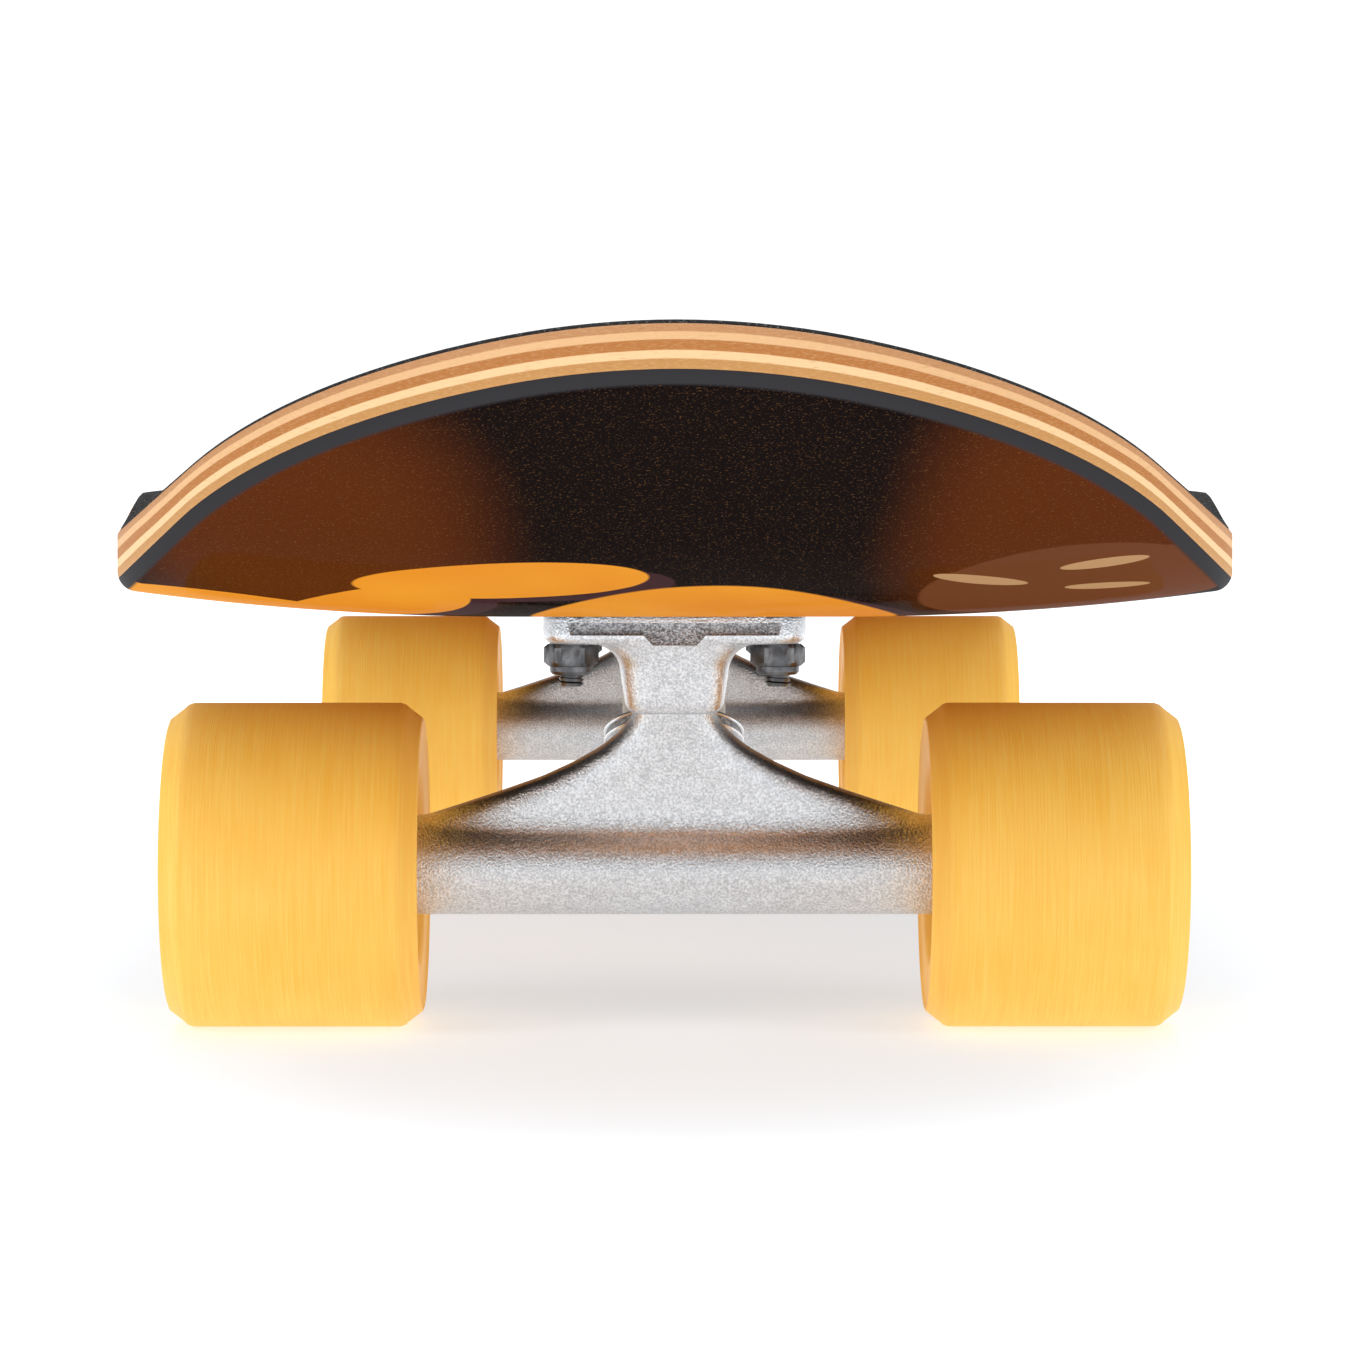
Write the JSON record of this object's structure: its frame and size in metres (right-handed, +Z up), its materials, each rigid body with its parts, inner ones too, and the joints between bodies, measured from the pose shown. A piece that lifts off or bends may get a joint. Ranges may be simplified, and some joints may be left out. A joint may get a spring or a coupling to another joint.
{
  "type": "skateboard",
  "caption": "Kicktail skateboard: a pressed maple deck with grip tape on two steering kingpin trucks with soft amber wheels.",
  "frame": {"origin": "on the ground under the middle of the board, at the bottom centre of its box", "axes": "+Z up, +Y along the board toward the tail, +X to the right seen from the nose end looking along +Y"},
  "size_m": [0.213, 0.8268, 0.1404],
  "materials": {
    "maple": "lacquered seven-ply edge, dark printed underside under clear coat",
    "grip": "coarse black grit",
    "cast_metal": "sand-cast grain, tumbled sheen",
    "dark_steel": "dark zinc",
    "bright_steel": "bright plated",
    "bearing_steel": "ground steel with a shield",
    "bushing_urethane": "smooth urethane",
    "pivot_urethane": "smooth urethane",
    "wheel_urethane": "satin urethane with fine lathe lines"
  },
  "bodies": {
    "board": {"deck": "maple", "grip_tape": "grip", "front_bolt_1": "dark_steel", "front_nut_1": "dark_steel", "front_bolt_2": "dark_steel", "front_nut_2": "dark_steel", "front_bolt_3": "dark_steel", "front_nut_3": "dark_steel", "front_bolt_4": "dark_steel", "front_nut_4": "dark_steel", "rear_bolt_1": "dark_steel", "rear_nut_1": "dark_steel", "rear_bolt_2": "dark_steel", "rear_nut_2": "dark_steel", "rear_bolt_3": "dark_steel", "rear_nut_3": "dark_steel", "rear_bolt_4": "dark_steel", "rear_nut_4": "dark_steel", "front_baseplate": "cast_metal", "front_pivot_cup": "pivot_urethane", "front_kingpin": "dark_steel", "front_kingpin_nut": "dark_steel", "front_board_washer": "bright_steel", "front_road_washer": "bright_steel", "front_board_bushing": "bushing_urethane", "front_road_bushing": "bushing_urethane", "rear_baseplate": "cast_metal", "rear_pivot_cup": "pivot_urethane", "rear_kingpin": "dark_steel", "rear_kingpin_nut": "dark_steel", "rear_board_washer": "bright_steel", "rear_road_washer": "bright_steel", "rear_board_bushing": "bushing_urethane", "rear_road_bushing": "bushing_urethane"},
    "front_hanger": {"front_hanger": "cast_metal", "front_axle": "bright_steel", "front_left_axle_nut": "bright_steel", "front_left_bearing_spacer": "bright_steel", "front_right_axle_nut": "bright_steel", "front_right_bearing_spacer": "bright_steel"},
    "front_left_wheel": {"front_left_wheel": "wheel_urethane", "front_left_inner_bearing": "bearing_steel", "front_left_outer_bearing": "bearing_steel"},
    "front_right_wheel": {"front_right_wheel": "wheel_urethane", "front_right_inner_bearing": "bearing_steel", "front_right_outer_bearing": "bearing_steel"},
    "rear_hanger": {"rear_hanger": "cast_metal", "rear_axle": "bright_steel", "rear_left_axle_nut": "bright_steel", "rear_left_bearing_spacer": "bright_steel", "rear_right_axle_nut": "bright_steel", "rear_right_bearing_spacer": "bright_steel"},
    "rear_left_wheel": {"rear_left_wheel": "wheel_urethane", "rear_left_inner_bearing": "bearing_steel", "rear_left_outer_bearing": "bearing_steel"},
    "rear_right_wheel": {"rear_right_wheel": "wheel_urethane", "rear_right_inner_bearing": "bearing_steel", "rear_right_outer_bearing": "bearing_steel"}
  },
  "joints": [
    {"name": "front_steer", "type": "hinge", "parent": "board", "child": "front_hanger", "pos_m": [0, -0.19964, 0.05408], "axis": [0, 0.9063, -0.4226], "range_deg": [-14, 14], "stiffness_Nm_per_rad": 40, "deforming": ["front_board_bushing", "front_road_bushing"]},
    {"name": "front_left_spin", "type": "hinge", "parent": "front_hanger", "child": "front_left_wheel", "pos_m": [-0.07675, -0.2285, 0.033], "axis": [1, 0, 0], "continuous": true},
    {"name": "front_right_spin", "type": "hinge", "parent": "front_hanger", "child": "front_right_wheel", "pos_m": [0.07675, -0.2285, 0.033], "axis": [1, 0, 0], "continuous": true},
    {"name": "rear_steer", "type": "hinge", "parent": "board", "child": "rear_hanger", "pos_m": [0, 0.22264, 0.05408], "axis": [0, -0.9063, -0.4226], "range_deg": [-14, 14], "stiffness_Nm_per_rad": 40, "deforming": ["rear_board_bushing", "rear_road_bushing"]},
    {"name": "rear_left_spin", "type": "hinge", "parent": "rear_hanger", "child": "rear_left_wheel", "pos_m": [-0.07675, 0.2515, 0.033], "axis": [1, 0, 0], "continuous": true},
    {"name": "rear_right_spin", "type": "hinge", "parent": "rear_hanger", "child": "rear_right_wheel", "pos_m": [0.07675, 0.2515, 0.033], "axis": [1, 0, 0], "continuous": true}
  ]
}
